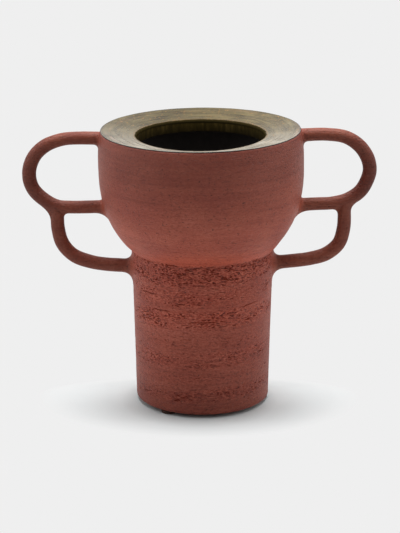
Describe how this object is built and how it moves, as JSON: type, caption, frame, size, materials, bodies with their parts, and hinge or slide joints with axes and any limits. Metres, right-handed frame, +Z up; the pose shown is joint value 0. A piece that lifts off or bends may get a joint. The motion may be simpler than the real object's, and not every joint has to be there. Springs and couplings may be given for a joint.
{
  "type": "two-handled stoneware vase",
  "caption": "Stoneware vase: wide bowl with a flat sloping rim on a straight column, joined by a clay band, with double looped coil handles at each side.",
  "frame": {"origin": "on the surface that the vase stands on, midway between the tips of the two handles; the foot's axis is 2.65 mm towards +X", "axes": "+Z up through the mouth, +X from the left handle to the right one, +Y from the front of the vase to its back"},
  "size_m": [0.2993, 0.174, 0.2396],
  "materials": {
    "red_clay": "matte red-brown stoneware with coarse grog, torn on the column",
    "band_clay": "smoothed orange-brown stoneware",
    "olive_glaze": "satin grey-olive glaze with brushed streaks and specks",
    "dark_glaze": "glossy dark brown glaze",
    "brown_felt": "pressed dark brown felt"
  },
  "bodies": {
    "root": {"base_slab": "red_clay", "column_wall": "red_clay", "joint_band": "band_clay", "bowl_wall": "red_clay", "rim_plate": "red_clay", "rim_glaze": "olive_glaze", "lining_glaze": "dark_glaze", "upper_loop_left": "red_clay", "lower_loop_left": "red_clay", "upper_loop_right": "red_clay", "lower_loop_right": "red_clay", "pad_front_left": "brown_felt", "pad_right": "brown_felt", "pad_back_left": "brown_felt"}
  },
  "joints": []
}
